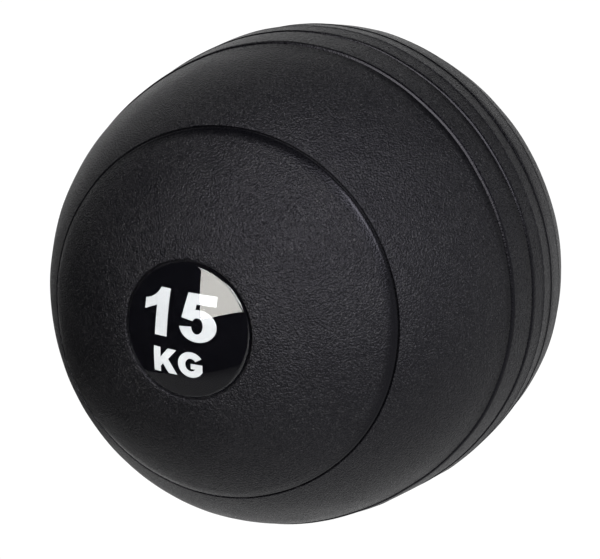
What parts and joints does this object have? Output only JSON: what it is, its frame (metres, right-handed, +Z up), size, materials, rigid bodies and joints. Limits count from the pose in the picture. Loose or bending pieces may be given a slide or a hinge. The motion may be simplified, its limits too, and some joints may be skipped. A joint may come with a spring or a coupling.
{
  "type": "medicine ball",
  "caption": "Heavy sand-filled throwing ball: a thick grained rubber-like shell with moulded rings, a round domed weight badge on each pole and a pressed flat it rests on.",
  "frame": {"origin": "centre of the contact flat that the ball rests on, at the bottom of the object's box", "axes": "+Z up; -Y out of the front badge, along the pole axis; +X to the right of the front badge seen from outside"},
  "size_m": [0.2812, 0.2848, 0.2694],
  "materials": {
    "shell_rubber": "matte",
    "sand": "matte",
    "plug_rubber": "satin",
    "sealant": "satin",
    "adhesive": "satin",
    "badge_film": "satin",
    "badge_ink": "satin",
    "badge_lens": "gloss"
  },
  "bodies": {
    "root": {"outer_shell": "shell_rubber", "sand_fill": "sand", "fill_plug": "plug_rubber", "plug_sealant": "sealant", "front_badge_adhesive": "adhesive", "front_badge_film": "badge_film", "front_badge_lens": "badge_lens", "rear_badge_adhesive": "adhesive", "rear_badge_film": "badge_film", "rear_badge_lens": "badge_lens", "front_badge_digit_one": "badge_ink", "front_badge_digit_five": "badge_ink", "front_badge_letter_k": "badge_ink", "front_badge_letter_g": "badge_ink"}
  },
  "joints": []
}
